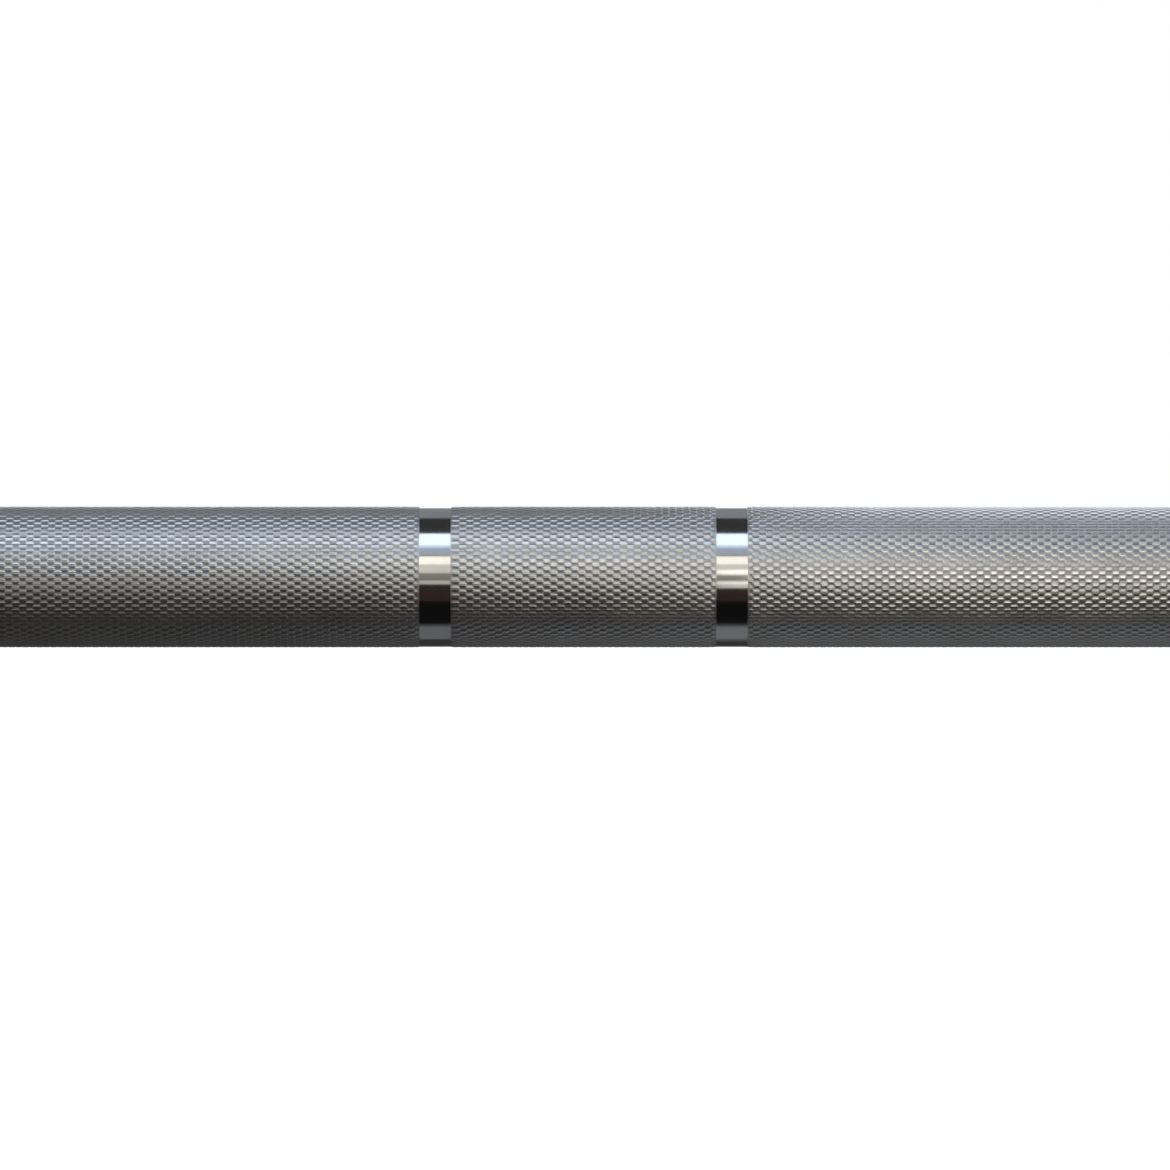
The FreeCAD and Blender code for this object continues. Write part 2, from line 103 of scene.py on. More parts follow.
@dataclass(frozen=True)
class Signal:
    """A shader value on its way between nodes. Operators on it add Math nodes."""

    graph: "Graph"
    socket: bpy.types.NodeSocket

    def __add__(self, other: "Value") -> "Signal":
        """The sum of two values."""
        return self.graph.math("ADD", self, other)

    __radd__ = __add__

    def __sub__(self, other: "Value") -> "Signal":
        """This value less another."""
        return self.graph.math("SUBTRACT", self, other)

    def __rsub__(self, other: "Value") -> "Signal":
        """Another value less this one."""
        return self.graph.math("SUBTRACT", other, self)

    def __mul__(self, other: "Value") -> "Signal":
        """The product of two values."""
        return self.graph.math("MULTIPLY", self, other)

    __rmul__ = __mul__

    def __pow__(self, other: "Value") -> "Signal":
        """This value to a power."""
        return self.graph.math("POWER", self, other)

    def rising(self, low: float, high: float) -> "Signal":
        """A smooth step from 0 to 1.

        Args:
            low: the value up to which it is 0.
            high: the value from which it is 1.

        Returns:
            The step.
        """
        settings = {"interpolation_type": "SMOOTHSTEP"}
        inputs = {"Value": self, "From Min": low, "From Max": high}
        return self.graph.node("ShaderNodeMapRange", settings, inputs)


Value = Signal | float


class Graph:
    """A node tree that is being built."""

    def __init__(self, tree: bpy.types.NodeTree) -> None:
        """Empties the tree for new nodes.

        Args:
            tree: the tree of a material or of the world.
        """
        self.tree = tree
        tree.nodes.clear()

    @staticmethod
    def socket(sockets: Sequence, key: int | str) -> bpy.types.NodeSocket:
        """Finds a socket.

        Args:
            sockets: a node's inputs or outputs.
            key: the socket's number, identifier or name.

        Returns:
            The socket.
        """
        if isinstance(key, int):
            return sockets[key]
        return next((one for one in sockets if one.identifier == key), None) or sockets[key]

    def node(
        self,
        kind: str,
        settings: dict | None = None,
        inputs: dict | None = None,
        output: int | str = 0,
    ) -> Signal | None:
        """Adds one node.

        Args:
            kind: the node's type name.
            settings: the node's own options, which are set first.
            inputs: values and links, by number, identifier or name of their sockets.
            output: the socket that is handed on.

        Returns:
            The chosen output, or None from a node that ends the tree.
        """
        made = self.tree.nodes.new(kind)
        for name, setting in (settings or {}).items():
            setattr(made, name, setting)
        for key, value in (inputs or {}).items():
            socket = self.socket(made.inputs, key)
            if isinstance(value, Signal):
                self.tree.links.new(value.socket, socket)
            else:
                socket.default_value = value
        return Signal(self, self.socket(made.outputs, output)) if made.outputs else None

    def math(self, operation: str, *values: Value) -> Signal:
        """One Math node on its values."""
        return self.node("ShaderNodeMath", {"operation": operation}, dict(enumerate(values)))

    def place(self) -> Signal:
        """The place on the piece, which is also its place on the bar."""
        return self.node("ShaderNodeTexCoord", output="Object")

    def axes(self, place: Signal) -> tuple[Signal, Signal, Signal]:
        """Distance along the bar, across it and up.

        Args:
            place: a place on the piece.

        Returns:
            Its three coordinates.
        """
        parts = self.node("ShaderNodeSeparateXYZ", inputs={"Vector": place})
        outputs = parts.socket.node.outputs
        return tuple(Signal(self, outputs[name]) for name in "XYZ")

    def vector(self, *parts: Value) -> Signal:
        """A vector from its three coordinates."""
        return self.node("ShaderNodeCombineXYZ", inputs=dict(enumerate(parts)))

    @staticmethod
    def from_axis(across: Signal, up: Signal) -> Signal:
        """Distance from the bar's axis: the root of the sum of both squares."""
        return (across * across + up * up) ** 0.5

    def noise(self, place: Signal, scale: float, detail: float = 2.0) -> Signal:
        """Soft noise between 0 and 1.

        Args:
            place: where it is read.
            scale: patches per metre.
            detail: octaves of finer noise.

        Returns:
            The noise there.
        """
        inputs = {"Vector": place, "Scale": scale, "Detail": detail}
        return self.node("ShaderNodeTexNoise", inputs=inputs)

    def mix(self, factor: Value, low: "Signal | Colour", high: "Signal | Colour") -> Signal:
        """A colour between two colours.

        Args:
            factor: 0 for the first, 1 for the second.
            low: the first colour.
            high: the second colour.

        Returns:
            The mixed colour.
        """
        inputs = {"Factor_Float": factor, "A_Color": low, "B_Color": high}
        return self.node("ShaderNodeMix", {"data_type": "RGBA"}, inputs, "Result_Color")

    def bump(self, height: Signal, distance: float) -> Signal:
        """A normal bent by a height.

        Args:
            height: 0 to 1.
            distance: what a height of 1 stands for, in metres.

        Returns:
            The bent normal.
        """
        return self.node("ShaderNodeBump", inputs={"Height": height, "Distance": distance})

    def surface(self, **sockets: "Signal | float | Colour") -> None:
        """Ends a material in one Principled surface, with spaces in socket names as underscores."""
        inputs = {name.replace("_", " "): value for name, value in sockets.items()}
        shader = self.node("ShaderNodeBsdfPrincipled", inputs=inputs)
        self.node("ShaderNodeOutputMaterial", inputs={"Surface": shader})


# Finishes


@dataclass(frozen=True)
class Finish(ABC):
    """What a surface is made of and how it was worked."""

    name: str

    @abstractmethod
    def paint(self, graph: Graph) -> None:
        """Builds the finish.

        Args:
            graph: the material's tree.
        """

    @functools.cache
    def material(self) -> bpy.types.Material:
        """Makes the material, once.

        Returns:
            The finish as a material.
        """
        made = bpy.data.materials.new(self.name)
        made.use_nodes = True
        self.paint(Graph(made.node_tree))
        return made

    def dress(self, piece: bpy.types.Object) -> None:
        """Gives a piece this finish all over."""
        piece.data.materials.clear()
        piece.data.materials.append(self.material())


@dataclass(frozen=True)
class PolishedChrome(Finish):
    """Bright chrome plate: wiping haze, and hairlines that the polishing belt left round the bar."""

    colour: Colour = (0.80, 0.80, 0.81, 1)
    haze_colour: Colour = (0.72, 0.72, 0.74, 1)
    roughness: float = 0.11
    haze: float = 0.05
    haze_scale: float = 70
    haze_range: Range = (0.42, 0.72)
    hairline_scale: float = 9000
    hairline_height: float = 0.0006 * MM

    def paint(self, graph: Graph) -> None:
        """Haze drives colour and roughness; fine noise along the bar makes the hairlines.

        Args:
            graph: the material's tree.
        """
        place = graph.place()
        along, _, _ = graph.axes(place)
        haze = graph.noise(place, self.haze_scale, detail=4.0).rising(*self.haze_range)
        hairlines = graph.noise(graph.vector(along, 0.0, 0.0), self.hairline_scale)
        graph.surface(
            Base_Color=graph.mix(haze, self.colour, self.haze_colour),
            Metallic=1.0,
            Roughness=self.roughness + haze * self.haze,
            Normal=graph.bump(hairlines, self.hairline_height),
        )


@dataclass(frozen=True)
class KnurlChrome(Finish):
    """Satin chrome over the knurl: smoother and lighter on the crests; rougher in the grooves, whose
    darker colour is painted shade with some soil.
    """

    groove_radius: float
    crest_radius: float
    crest_colour: Colour = (0.82, 0.82, 0.82, 1)
    # darker colour in the grooves: painted shade, with some soil
    groove_shade_and_dirt_colour: Colour = (0.54, 0.53, 0.52, 1)
    crest_roughness: float = 0.30
    groove_roughness: float = 0.48
    wear: float = 0.10
    wear_scale: float = 45
    grain_scale: float = 6000
    grain_height: float = 0.004 * MM

    def paint(self, graph: Graph) -> None:
        """Distance from the bar's axis tells crest from groove and darkens the grooves' colour as
        painted shade with some soil; noise adds wear and plating grain.

        Args:
            graph: the material's tree.
        """
        place = graph.place()
        _, across, up = graph.axes(place)
        radius = graph.from_axis(across, up)
        crest = radius.rising(self.groove_radius, self.crest_radius)
        worn = graph.noise(place, self.wear_scale, detail=3.0)
        grain = graph.noise(place, self.grain_scale, detail=1.0)
        bright = self.crest_roughness + worn * self.wear
        graph.surface(
            # the darker groove colour is painted shade in the grooves, with some soil
            Base_Color=graph.mix(crest, self.groove_shade_and_dirt_colour, self.crest_colour),
            Metallic=1.0,
            Roughness=self.groove_roughness + crest * (bright - self.groove_roughness),
            Normal=graph.bump(grain, self.grain_height),
        )


@dataclass(frozen=True)
class SleeveChrome(Finish):
    """Hard chrome on the sleeves: fine turning rings, and scuffs from plates slid along them."""

    colour: Colour = (0.74, 0.74, 0.75, 1)
    scuff_colour: Colour = (0.55, 0.55, 0.56, 1)
    roughness: float = 0.13
    scuff_roughness: float = 0.16
    ring_scale: float = 3500
    ring_height: float = 0.0016 * MM
    scuff_scale: float = 900
    scuff_scale_along: float = 7
    scuff_range: Range = (0.55, 0.72)
    scuff_depth: float = 0.5
    patch_scale: float = 18
    patch_range: Range = (0.40, 0.68)

    def paint(self, graph: Graph) -> None:
        """Noise along the bar makes the rings; noise stretched along it makes patches of scuffs.

        Args:
            graph: the material's tree.
        """
        place = graph.place()
        along, across, up = graph.axes(place)
        rings = graph.noise(graph.vector(along, 0.0, 0.0), self.ring_scale, detail=3.0)
        stretched = graph.vector(along * (self.scuff_scale_along / self.scuff_scale), across, up)
        patches = graph.noise(place, self.patch_scale).rising(*self.patch_range)
        scuffs = graph.noise(stretched, self.scuff_scale).rising(*self.scuff_range) * patches
        graph.surface(
            Base_Color=graph.mix(scuffs, self.colour, self.scuff_colour),
            Metallic=1.0,
            Roughness=self.roughness + scuffs * self.scuff_roughness,
            Normal=graph.bump(rings - scuffs * self.scuff_depth, self.ring_height),
        )


@dataclass(frozen=True)
class TurnedSteel(Finish):
    """Bare steel off a lathe or a press: tool rings, and patches of thin oil."""

    colour: Colour
    oil_colour: Colour
    roughness: float
    oil_roughness: float = 0.10
    oil_scale: float = 160
    oil_range: Range = (0.45, 0.65)
    ring_scale: float = 4000
    ring_height: float = 0.002 * MM

    def paint(self, graph: Graph) -> None:
        """Noise along the bar and outwards from its axis makes the rings; broad noise the oil.

        Args:
            graph: the material's tree.
        """
        place = graph.place()
        along, across, up = graph.axes(place)
        radius = graph.from_axis(across, up)
        rings = graph.noise(graph.vector(along, radius, 0.0), self.ring_scale, detail=3.0)
        oil = graph.noise(place, self.oil_scale, detail=3.0).rising(*self.oil_range)
        graph.surface(
            Base_Color=graph.mix(oil, self.colour, self.oil_colour),
            Metallic=1.0,
            Roughness=self.roughness - oil * self.oil_roughness,
            Normal=graph.bump(rings, self.ring_height),
        )


@dataclass(frozen=True)
class SinteredBronze(Finish):
    """Oil-filled bronze: a warm metal with small dark pores and a darker oil film."""

    colour: Colour = (0.56, 0.36, 0.17, 1)
    film_colour: Colour = (0.36, 0.21, 0.09, 1)
    roughness: float = 0.36
    pore_scale: float = 2600
    pore_range: Range = (0.12, 0.30)
    pore_depth: float = 0.02 * MM
    pore_darkness: float = 0.4
    pore_roughness: float = 0.3
    film_scale: float = 120
    film_range: Range = (0.40, 0.65)
    film_darkness: float = 0.6

    def paint(self, graph: Graph) -> None:
        """Cells make the pores, and broad noise the film of oil.

        Args:
            graph: the material's tree.
        """
        place = graph.place()
        cells = {"Vector": place, "Scale": self.pore_scale}
        solid = graph.node("ShaderNodeTexVoronoi", inputs=cells).rising(*self.pore_range)
        pores = 1 - solid
        film = graph.noise(place, self.film_scale, detail=3.0).rising(*self.film_range)
        dark = film * self.film_darkness + pores * self.pore_darkness
        graph.surface(
            Base_Color=graph.mix(dark, self.colour, self.film_colour),
            Metallic=1.0,
            Roughness=self.roughness + pores * self.pore_roughness,
            Normal=graph.bump(solid, self.pore_depth),
        )


@dataclass(frozen=True)
class SealRubber(Finish):
    """Black nitrile rubber with a fine moulded grain and a little dust."""

    colour: Colour = (0.018, 0.018, 0.019, 1)
    dust_colour: Colour = (0.075, 0.070, 0.064, 1)
    roughness: float = 0.58
    grain_scale: float = 5000
    grain_height: float = 0.01 * MM
    dust_scale: float = 220
    dust_range: Range = (0.50, 0.75)
    dust_roughness: float = 0.25

    def paint(self, graph: Graph) -> None:
        """Fine noise is the grain; broad noise is where dust clings.

        Args:
            graph: the material's tree.
        """
        place = graph.place()
        grain = graph.noise(place, self.grain_scale)
        dust = graph.noise(place, self.dust_scale, detail=4.0).rising(*self.dust_range)
        graph.surface(
            Base_Color=graph.mix(dust, self.colour, self.dust_colour),
            Roughness=self.roughness + dust * self.dust_roughness,
            Normal=graph.bump(grain, self.grain_height),
        )


@dataclass(frozen=True)
class FacedAlloy(Finish):
    """Aluminium faced on a lathe: fine rings about the bar's axis under clear anodising."""

    colour: Colour = (0.62, 0.62, 0.63, 1)
    ring_colour: Colour = (0.50, 0.50, 0.51, 1)
    roughness: float = 0.26
    ring_roughness: float = 0.12
    ring_scale: float = 2800
    ring_height: float = 0.004 * MM

    def paint(self, graph: Graph) -> None:
        """Noise read only along the radius makes the rings.

        Args:
            graph: the material's tree.
        """
        _, across, up = graph.axes(graph.place())
        radius = graph.from_axis(across, up)
        rings = graph.noise(graph.vector(radius, 0.0, 0.0), self.ring_scale, detail=3.0)
        graph.surface(
            Base_Color=graph.mix(rings, self.colour, self.ring_colour),
            Metallic=1.0,
            Roughness=self.roughness + rings * self.ring_roughness,
            Normal=graph.bump(rings, self.ring_height),
        )


# Surfaces turned about the bar's axis


def rounded(corners: Sequence[Corner]) -> np.ndarray:
    """An outline with its corners rounded by arcs.

    An arc of radius r at a corner that turns by an angle t starts r tan(t / 2) before the corner and
    sweeps through t about a centre r to the side. A corner with no radius stays as it is.

    Args:
        corners: (along, radius from the axis, rounding) in order round a closed outline.

    Returns:
        Points (along, radius from the axis) as rows.
    """
    numbers = np.array(corners)
    corner = numbers[:, 0] + 1j * numbers[:, 1]
    rounding = numbers[:, 2]
    arriving = corner - np.roll(corner, 1)
    arriving /= np.abs(arriving)
    leaving = np.roll(arriving, -1)
    turn = np.angle(leaving / arriving)
    start = corner - arriving * rounding * np.tan(np.abs(turn) / 2)
    centre = start + 1j * np.sign(turn) * arriving * rounding
    share = np.linspace(0, 1, ARC_STEPS + 1)
    arcs = centre[:, None] + (start - centre)[:, None] * np.exp(1j * turn[:, None] * share)
    kept = (rounding[:, None] > 0) | (share == 0)
    points = arcs[kept]
    return np.stack([points.real, points.imag], axis=-1)


def turned_points(along: np.ndarray, radius: np.ndarray, turn: np.ndarray) -> np.ndarray:
    """A grid of points carried round the bar.

    x is the distance along the bar, and y and z are the radius times the cosine and the sine of the
    turn.

    Args:
        along: distance along the bar, rows by steps or rows by 1.
        radius: distance from the bar's axis, rows by steps or rows by 1.
        turn: angle round the bar, rows by steps or steps alone.

    Returns:
        Points in an array of rows by steps by 3.
    """
    x, reach, angle = np.broadcast_arrays(along, radius, turn)
    return np.stack([x, reach * np.cos(angle), reach * np.sin(angle)], axis=-1)


def even_turn(steps: int) -> np.ndarray:
    """Angles that divide the full turn into equal steps."""
    return np.arange(steps) * FULL_TURN / steps


def grid_faces(rows: int, steps: int, closed: bool) -> tuple[np.ndarray, np.ndarray]:
    """Four-cornered faces between neighbouring rows of a grid that closes round the bar.

    Args:
        rows: rows of the grid.
        steps: points in a row.
        closed: whether the last row is joined to the first.

    Returns:
        Corner numbers of each face, and the (row, step) of each corner counted past the seam.
    """
    first_row, first_step = np.indices((rows if closed else rows - 1, steps)).reshape(2, -1, 1)
    row = first_row + np.array([0, 1, 1, 0])
    step = first_step + np.array([0, 0, 1, 1])
    return (row % rows) * steps + step % steps, np.stack([row, step], axis=-1)


def add_mesh(
    name: str,
    points: np.ndarray,
    faces: Sequence[np.ndarray],
    maps: Sequence[np.ndarray],
    sharp_angle: float = SHARP_ANGLE,
) -> bpy.types.Object:
    """Makes an object from arrays.

    Args:
        name: the piece's name.
        points: vertices, as rows.
        faces: arrays of corner numbers, each of faces with as many corners.
        maps: the place of each of those corners on the texture map.
        sharp_angle: the turn between two faces past which their edge stays sharp.

    Returns:
        The new object, at the origin.
    """
    mesh = bpy.data.meshes.new(name)
    corners = np.concatenate([group.ravel() for group in faces]).astype(np.int32)
    sizes = np.concatenate([np.full(len(group), group.shape[1], np.int32) for group in faces])
    mesh.vertices.add(len(points))
    mesh.vertices.foreach_set("co", points.astype(np.float32).ravel())
    mesh.loops.add(len(corners))
    mesh.loops.foreach_set("vertex_index", corners)
    mesh.polygons.add(len(sizes))
    mesh.polygons.foreach_set("loop_start", np.cumsum(sizes, dtype=np.int32) - sizes)
    mesh.polygons.foreach_set("use_smooth", np.full(len(sizes), True))
    layer = mesh.uv_layers.new(name=TEXTURE_MAP)
    spots = np.concatenate([group.ravel() for group in maps]).astype(np.float32)
    layer.uv.foreach_set("vector", spots)
    mesh.update(calc_edges=True)
    mesh.validate()
    mesh.set_sharp_from_angle(angle=sharp_angle)
    piece = bpy.data.objects.new(name, mesh)
    bpy.context.scene.collection.objects.link(piece)
    return piece


def wound_outwards(outline: np.ndarray) -> np.ndarray:
    """The outline in the order that makes its turned faces point outwards.

    That is the order in which the area by the shoelace sum, half the sum of x1 r2 - x2 r1 over
    neighbouring points, is positive.

    Args:
        outline: points (along, radius) of a closed outline, or of one that the axis closes.

    Returns:
        The same points, reversed if need be.
    """
    x, r = outline.T
    doubled_area = np.sum(x * np.roll(r, -1) - np.roll(x, -1) * r)
    return outline if doubled_area > 0 else outline[::-1]


def shares_along(outline: np.ndarray) -> np.ndarray:
    """The share of an outline's length that lies before each of its points.

    Args:
        outline: points (along, radius), with the first one repeated at the end of a closed outline.

    Returns:
        Shares from 0 to 1.
    """
    lengths = np.linalg.norm(np.diff(outline, axis=0), axis=1)
    return np.concatenate([[0], np.cumsum(lengths)]) / lengths.sum()


def turned_ring(name: str, outline: np.ndarray) -> bpy.types.Object:
    """A ring: a closed outline carried round the bar.

    Args:
        name: the piece's name.
        outline: points (along, radius), all off the axis.

    Returns:
        The new object.
    """
    outline = wound_outwards(outline)
    reach = shares_along(np.concatenate([outline, outline[:1]]))
    points = turned_points(outline[:, :1], outline[:, 1:], even_turn(ROUND_STEPS))
    quads, spots = grid_faces(len(outline), ROUND_STEPS, closed=True)
    flat = np.stack([spots[..., 1] / ROUND_STEPS, reach[spots[..., 0]]], axis=-1)
    return add_mesh(name, points.reshape(-1, 3), [quads], [flat])


def turned_solid(name: str, outline: np.ndarray) -> bpy.types.Object:
    """A solid: an outline that starts and ends on the axis, carried round the bar.

    Args:
        name: the piece's name.
        outline: points (along, radius) whose first and last lie on the axis.

    Returns:
        The new object.
    """
    outline = wound_outwards(outline)
    rings = outline[1:-1]
    reach = shares_along(outline)
    poles = np.stack([outline[[0, -1], 0], [0, 0], [0, 0]], axis=-1)
    points = turned_points(rings[:, :1], rings[:, 1:], even_turn(ROUND_STEPS)).reshape(-1, 3)
    quads, spots = grid_faces(len(rings), ROUND_STEPS, closed=False)
    flat = np.stack([spots[..., 1] / ROUND_STEPS, reach[spots[..., 0] + 1]], axis=-1)
    step = np.arange(ROUND_STEPS)
    after = (step + 1) % ROUND_STEPS
    last = (len(rings) - 1) * ROUND_STEPS
    first_pole = np.full(ROUND_STEPS, len(points))
    fans = [
        np.stack([first_pole, step, after], axis=-1),
        np.stack([last + step, first_pole + 1, last + after], axis=-1),
    ]
    u = np.stack([step, step + 0.5, step + 1], axis=-1) / ROUND_STEPS
    near, far = np.full((2, ROUND_STEPS), reach[[1, -2], None])
    at_pole = np.zeros(ROUND_STEPS)
    fan_maps = [
        np.stack([u[:, [1, 0, 2]], np.stack([at_pole, near, near], axis=-1)], axis=-1),
        np.stack([u, np.stack([far, at_pole + 1, far], axis=-1)], axis=-1),
    ]
    return add_mesh(name, np.concatenate([points, poles]), [quads, *fans], [flat, *fan_maps])


def settle(piece: bpy.types.Object, body: str, node: str, finish: Finish) -> None:
    """Dresses a new piece and ties it to the frame.

    Args:
        piece: the new piece.
        body: the body that carries it.
        node: the node that it stands for.
        finish: what it looks like.
    """
    finish.dress(piece)
    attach(piece, body)
    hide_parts(node)
    log.info("%s: %d faces on %s", piece.name, len(piece.data.polygons), body)


# The shaft


@dataclass(frozen=True)
class Knurl:
    """Small blunt diamonds between two sets of crossed grooves."""

    pitch: float
    grooves: int = 56
    crest: float = 14.05 * MM
    depth: float = 0.15 * MM
    blunting: float = 0.5
    columns_per_pitch: int = 4
    steps_per_groove: int = 6
    column_shift: float = 1 / 24
    edge_angle: float = math.radians(8)
    end_bevel: float = 0.70 * MM
    waver: float = 0.10
    waver_length: float = 23 * MM
    waver_turns: tuple[int, int] = (2, 3)
    second_waver: float = 0.7
    second_waver_rate: float = 2.53
    outer_map_share: float = 0.94
    wall_map_shares: tuple[float, ...] = (0.96, 0.98, 1.0)

    def heights(self, columns: int, steps: int) -> np.ndarray:
        """Heights of the diamonds over a grid, from 0 where two grooves cross to 1 on a top.

        Each set of grooves is a cosine wave slanted across the bar, and the mean of both is the
        cosine along the bar times the cosine round it. That swell is read at columns to both sides
        of each top, brought back to run from -1 to 1, and cut off flat at the blunting.

        Args:
            columns: columns along the bar.
            steps: steps round it.

        Returns:
            The heights, columns by steps.
        """
        along = (np.arange(columns)[:, None] + 0.5) * FULL_TURN / self.columns_per_pitch
        around = np.arange(steps) * FULL_TURN / self.steps_per_groove
        swell = np.cos(along) * np.cos(around) / np.abs(np.cos(along)).max()
        return (1 + np.minimum(swell, self.blunting)) / (1 + self.blunting)

    def depths(self, along: np.ndarray, angle: np.ndarray) -> np.ndarray:
        """Depth of the grooves, which wavers a little.

        The waver is the sum of two sines that run along the bar and round it at different rates.

        Args:
            along: places along the bar, as a column.
            angle: angles round it.

        Returns:
            The depths, places by angles.
        """
        wave = along * FULL_TURN / self.waver_length
        first_turns, second_turns = self.waver_turns
        second = np.sin(self.second_waver_rate * wave - second_turns * angle)
        waver = np.sin(wave + first_turns * angle) + self.second_waver * second
        return self.depth * (1 - self.waver / 2 + self.waver / 2 * waver)

    @staticmethod
    def halves(quads: np.ndarray, level: np.ndarray) -> np.ndarray:
        """Splits each four-cornered face in two.

        The cut is the diagonal whose ends are more nearly level, and the lower one of two alike:
        unevenness is weighted so that it counts before height.

        Args:
            quads: corner numbers of each face.
            level: height of each point.

        Returns:
            For each face, which of its corners make its two triangles.
        """
        face_level = level[quads]
        uneven = np.abs(face_level[:, [0, 1]] - face_level[:, [2, 3]])
        raised = face_level[:, [0, 1]] + face_level[:, [2, 3]]
        cost = uneven * len(face_level) + raised
        crossing = cost[:, 0] > cost[:, 1]
        cuts = np.array([[[0, 1, 2], [0, 2, 3]], [[0, 1, 3], [1, 2, 3]]])
        return cuts[crossing.astype(int)]

    def band(self, name: str, start: float, end: float, foot: float, core: float) -> bpy.types.Object:
        """One knurled band: a closed shell with the diamonds outside and the core's wall inside.

        The radius is the crest less the groove's depth times (1 - height). The columns are even but
        for a shift, given in pitches, that draws the two about each groove together, so that a top
        is longer and its ends are steeper. At both ends a bevel runs down to the foot.

        Args:
            name: the piece's name.
            start: where the band starts along the bar.
            end: where it ends.
            foot: radius at the foot of the end bevels.
            core: radius of the inner wall.

        Returns:
            The new object.
        """
        turns = self.steps_per_groove * self.grooves
        inner_length = end - start - 2 * self.end_bevel
        count = round(inner_length / self.pitch * self.columns_per_pitch)
        inner = np.linspace(end - self.end_bevel, start + self.end_bevel, count + 1)[:, None]
        inner[0::2] -= self.pitch * self.column_shift
        inner[1::2] += self.pitch * self.column_shift
        angle = even_turn(turns)
        height = self.heights(count + 1, turns)
        outside = self.crest - self.depths(inner, angle) * (1 - height)
        ring = np.ones((1, turns))
        radius = np.concatenate([ring * foot, outside, ring * foot, ring * core, ring * core])
        along = np.concatenate([[[end]], inner, [[start], [start], [end]]])
        level = np.pad(height, ((1, 3), (0, 0))).ravel()
        quads, spots = grid_faces(len(along), turns, closed=True)
        halves = self.halves(quads, level)
        picked = np.arange(len(quads))[:, None, None]
        outer_shares = np.linspace(0, self.outer_map_share, len(inner) + 2)
        reach = np.concatenate([outer_shares, self.wall_map_shares])
        flat = np.stack([spots[..., 1] / turns, reach[spots[..., 0]]], axis=-1)
        points = turned_points(along, radius, angle).reshape(-1, 3)
        triangles = quads[picked, halves].reshape(-1, 3)
        return add_mesh(name, points, [triangles], [flat[picked, halves]], self.edge_angle)


@dataclass
class Shaft:
    """The solid bar between the sleeves and through them."""

    radius: float = 14 * MM
    core_radius: float = 13.5 * MM
    band_foot: float = 13.97 * MM
    centre_knurl_end: float = 60 * MM
    grip_start: float = 210 * MM
    inner_mark: float = 396 * MM
    outer_mark: float = 455 * MM
    mark_width: float = 6.2 * MM
    grip_end: float = 649 * MM
    shoulder: float = 663 * MM
    journal_radius: float = 12.5 * MM
    ring_groove: Range = (1053.6 * MM, 1055.7 * MM)
    ring_groove_radius: float = 11.6 * MM
    end_chamfer: float = 1.5 * MM
    centre_hole_radius: float = 3 * MM
    centre_hole_depth: float = 5 * MM
    fine: Knurl = Knurl(pitch=2.69 * MM)
    medium: Knurl = Knurl(pitch=2.796 * MM)

    def bands(self) -> list[tuple[str, float, float, Knurl]]:
        """The knurled bands on the right half, from the middle outwards.

        Returns:
            Name, start, end and knurl of each band.
        """
        inner_mark_end = self.inner_mark + self.mark_width
        outer_mark_end = self.outer_mark + self.mark_width
        return [
            ("inner_knurl", self.grip_start, self.inner_mark, self.medium),
            ("middle_knurl", inner_mark_end, self.outer_mark, self.medium),
            ("outer_knurl", outer_mark_end, self.grip_end, self.fine),
        ]

    def core_outline(self) -> np.ndarray:
        """The bar without its knurl: each band's place is sunk.

        Returns:
            Points (along, radius) from the right end's centre to the left end's.
        """
        half = [
            (self.centre_knurl_end, self.core_radius),
            (self.centre_knurl_end, self.radius),
        ]
        for _, start, end, _ in self.bands():
            half += [
                (start, self.radius),
                (start, self.core_radius),
                (end, self.core_radius),
                (end, self.radius),
            ]
        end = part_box("shaft")[1].x
        groove_start, groove_end = self.ring_groove
        half += [
            (self.shoulder, self.radius),
            (self.shoulder, self.journal_radius),
            (groove_start, self.journal_radius),
            (groove_start, self.ring_groove_radius),
            (groove_end, self.ring_groove_radius),
            (groove_end, self.journal_radius),
            (end - self.end_chamfer, self.journal_radius),
            (end, self.journal_radius - self.end_chamfer),
            (end, self.centre_hole_radius),
            (end - self.centre_hole_depth, 0),
        ]
        right = np.array(half)
        return np.concatenate([right[::-1], right * (-1, 1)])

    def build(self, smooth: Finish, knurled: Finish) -> None:
        """Makes the core and the seven knurled bands.

        Args:
            smooth: the finish of the core, which shows in the marks and smooth lengths.
            knurled: the finish of the bands.
        """
        core = turned_solid("shaft_core", self.core_outline())
        settle(core, "shaft", "shaft", smooth)
        spans = [("centre_knurl", -self.centre_knurl_end, self.centre_knurl_end, self.medium)]
        for name, start, end, knurl in self.bands():
            spans.append((f"{Side.RIGHT.word}_{name}", start, end, knurl))
            spans.append((f"{Side.LEFT.word}_{name}", -end, -start, knurl))
        for name, start, end, knurl in spans:
            band = knurl.band(name, start, end, self.band_foot, self.core_radius)
            settle(band, "shaft", "shaft", knurled)


# The sleeves


